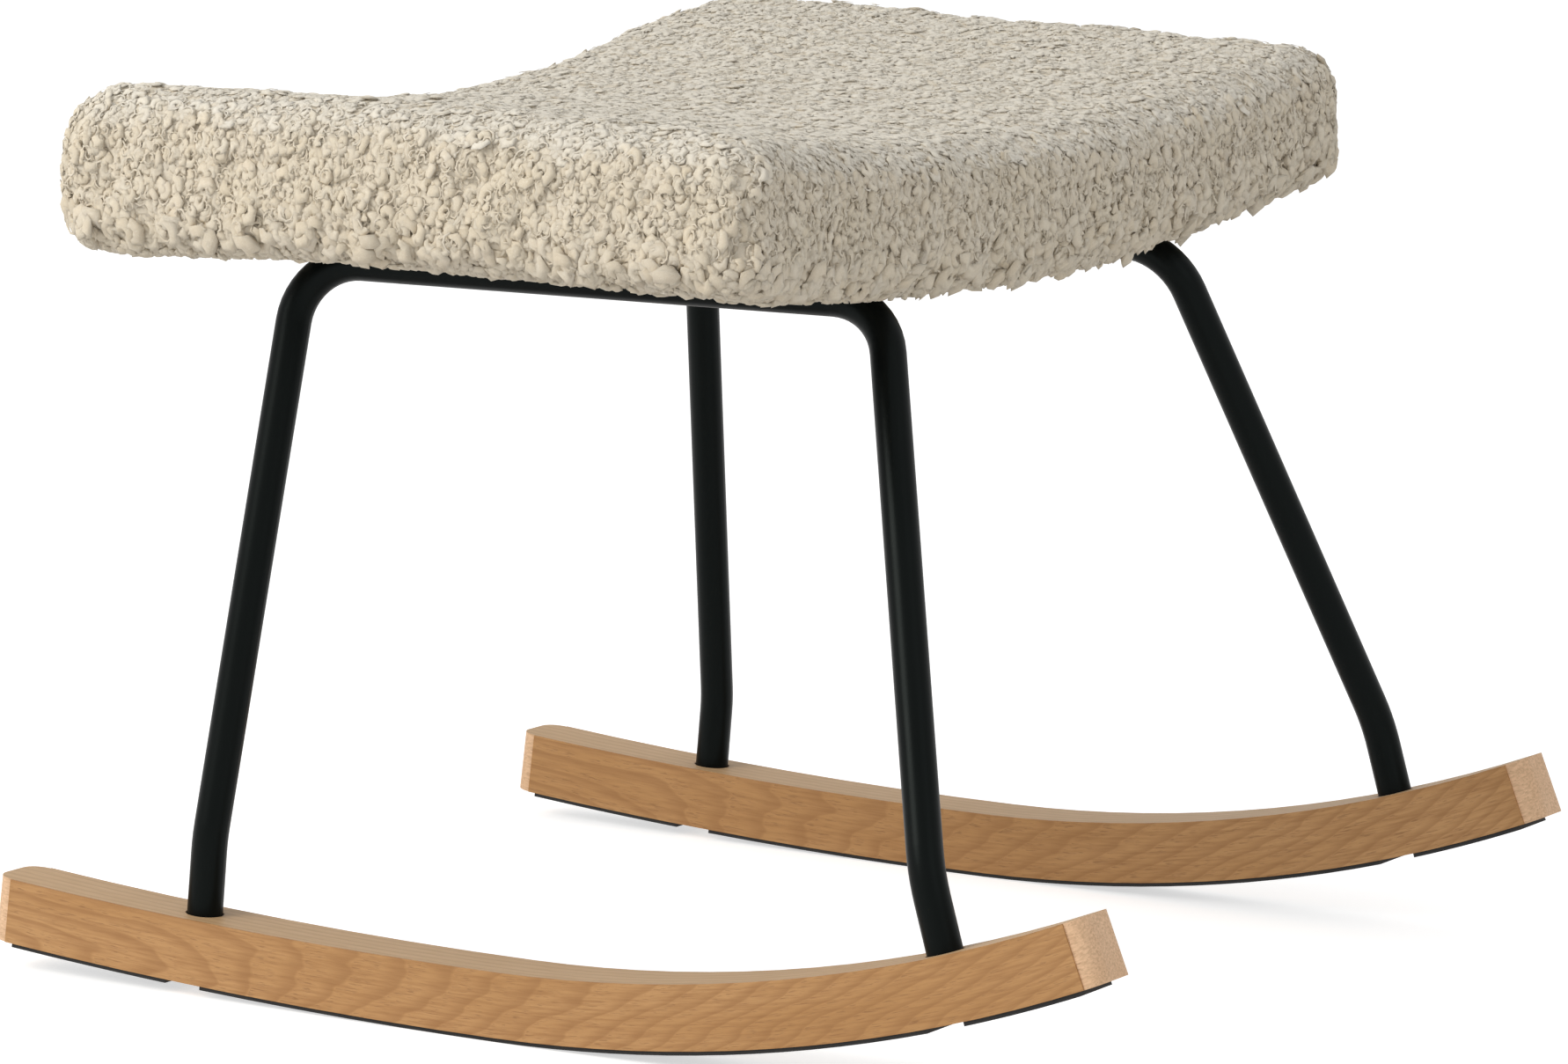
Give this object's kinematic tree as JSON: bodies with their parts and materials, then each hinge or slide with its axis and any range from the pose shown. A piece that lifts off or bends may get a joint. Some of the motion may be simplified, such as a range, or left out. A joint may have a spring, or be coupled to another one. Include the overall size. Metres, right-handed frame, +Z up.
{
  "type": "rocking footstool",
  "caption": "Rocking footstool with a dished fleece-covered seat on bent black steel tubes that stand in curved wooden rockers.",
  "frame": {"origin": "on the floor, under the middle of the whole object's box, half-way between the two rockers", "axes": "+Z up, +X along the rockers towards the high-swept front end, +Y across to the left rocker"},
  "size_m": [0.5544, 0.592, 0.4068],
  "materials": {
    "fleece": "matte",
    "foam": "matte",
    "dust_cloth": "matte",
    "shell_plywood": "matte",
    "rocker_core": "satin",
    "rocker_veneer": "satin",
    "black_tube": "satin",
    "zinc_steel": "satin",
    "black_rubber": "matte",
    "saddle_plastic": "matte"
  },
  "bodies": {
    "root": {"fleece_cover": "fleece", "foam_pad": "foam", "seat_shell": "shell_plywood", "dust_cover": "dust_cloth", "hem_staples": "zinc_steel", "dust_cover_staples": "zinc_steel", "tee_nuts": "zinc_steel", "crossbar_saddles": "saddle_plastic", "crossbar_caps": "saddle_plastic", "seat_washers": "zinc_steel", "seat_screws": "zinc_steel", "foot_screws": "zinc_steel", "foot_washers": "zinc_steel", "right_leg_frame": "black_tube", "right_foot_plugs": "zinc_steel", "right_rocker": "rocker_core", "right_rocker_veneers": "rocker_veneer", "right_rear_grip_strip": "black_rubber", "right_middle_grip_strip": "black_rubber", "right_front_grip_strip": "black_rubber", "left_leg_frame": "black_tube", "left_foot_plugs": "zinc_steel", "left_rocker": "rocker_core", "left_rocker_veneers": "rocker_veneer", "left_rear_grip_strip": "black_rubber", "left_middle_grip_strip": "black_rubber", "left_front_grip_strip": "black_rubber"}
  },
  "joints": []
}
